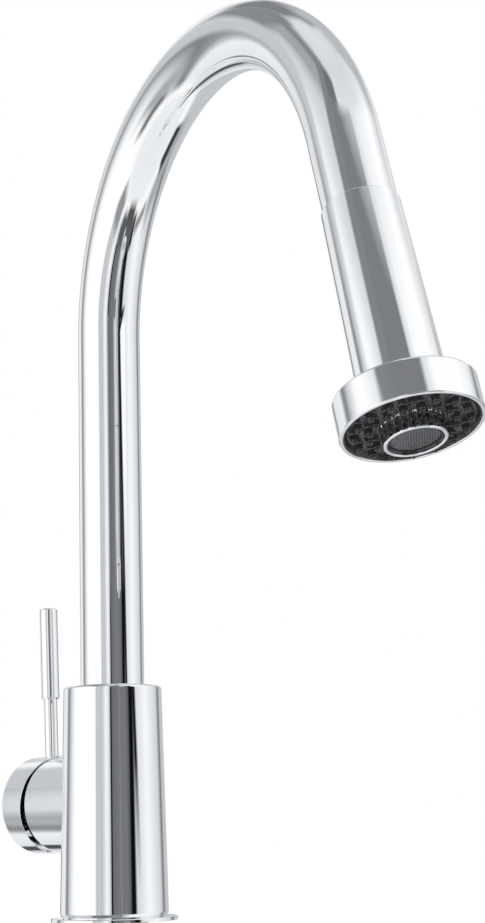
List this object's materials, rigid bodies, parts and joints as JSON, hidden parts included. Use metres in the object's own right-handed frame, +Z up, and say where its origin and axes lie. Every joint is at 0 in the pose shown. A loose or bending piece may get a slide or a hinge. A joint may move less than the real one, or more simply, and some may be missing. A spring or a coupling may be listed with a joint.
{
  "type": "pull down kitchen faucet",
  "caption": "Single-lever kitchen faucet with a high arc swivelling spout and a pull-down spray head on a hose, for a single deck hole.",
  "frame": {"origin": "centre of the base flange's underside, on the deck", "axes": "+Z up from the deck; the spout points along -Y at rest"},
  "size_m": [0.0629, 0.3372, 0.459],
  "materials": {
    "polished_chrome": "polished",
    "brass": "machined",
    "steel": "satin",
    "black_rubber": "matte",
    "grey_silicone": "satin",
    "black_nylon": "satin",
    "white_acetal": "satin",
    "ceramic": "lapped",
    "hose_braid": "braided",
    "blue_plastic": "satin"
  },
  "bodies": {
    "faucet_body": {"base_flange": "polished_chrome", "flange_gasket": "black_rubber", "body_shell": "polished_chrome", "mounting_shank": "brass", "deck_washer": "black_rubber", "clamp_washer": "steel", "mounting_nut": "brass", "nut_lock_screws": "steel", "valve_body": "brass", "cartridge_housing": "white_acetal", "cartridge_seals": "black_rubber", "fixed_ceramic_disc": "ceramic", "cartridge_nut": "brass", "cartridge_bonnet": "black_nylon", "swivel_bush": "white_acetal", "hose_lower": "hose_braid"},
    "valve_spindle": {"moving_ceramic_disc": "ceramic", "spindle_carrier": "white_acetal", "lever_pin": "steel"},
    "handle": {"cartridge_lever": "steel", "handle_cap": "polished_chrome", "handle_set_screw": "steel", "lever_rod": "polished_chrome", "lever_grip": "polished_chrome"},
    "spout": {"spout_tube": "polished_chrome", "spout_o_rings": "black_rubber", "retaining_clip": "steel", "docking_collar": "black_nylon", "hose_upper": "hose_braid"},
    "spray_head": {"head_shell": "polished_chrome", "head_core": "black_nylon", "dock_ring": "white_acetal", "hose_tail": "hose_braid", "hose_ferrule": "steel", "hose_washer": "black_rubber", "check_valve": "blue_plastic", "bell_retainer": "brass"},
    "spray_face": {"bell": "polished_chrome", "spray_plate": "black_nylon", "spray_nozzles": "grey_silicone", "aerator_housing": "polished_chrome", "aerator_insert": "black_nylon", "aerator_screen": "steel"}
  },
  "joints": [
    {"name": "spout_swivel", "type": "hinge", "parent": "faucet_body", "child": "spout", "pos_m": [0, 0, 0.09], "axis": [0, 0, 1], "range_deg": [-180, 180]},
    {"name": "head_pull", "type": "slide", "parent": "spout", "child": "spray_head", "axis": [0, -0.2924, -0.9563], "range_m": [0, 0.45]},
    {"name": "spray_select", "type": "hinge", "parent": "spray_head", "child": "spray_face", "pos_m": [0, -0.24739, 0.18947], "axis": [0, -0.2924, -0.9563], "range_deg": [0, 60]},
    {"name": "handle_turn", "type": "hinge", "parent": "faucet_body", "child": "valve_spindle", "pos_m": [-0.0041, 0.0211, 0.0535], "axis": [-0.1908, 0.9816, 0], "range_deg": [-45, 45]},
    {"name": "handle_lift", "type": "hinge", "parent": "valve_spindle", "child": "handle", "pos_m": [-0.0041, 0.0211, 0.0535], "axis": [-0.9816, -0.1908, 0], "range_deg": [0, 10]}
  ]
}
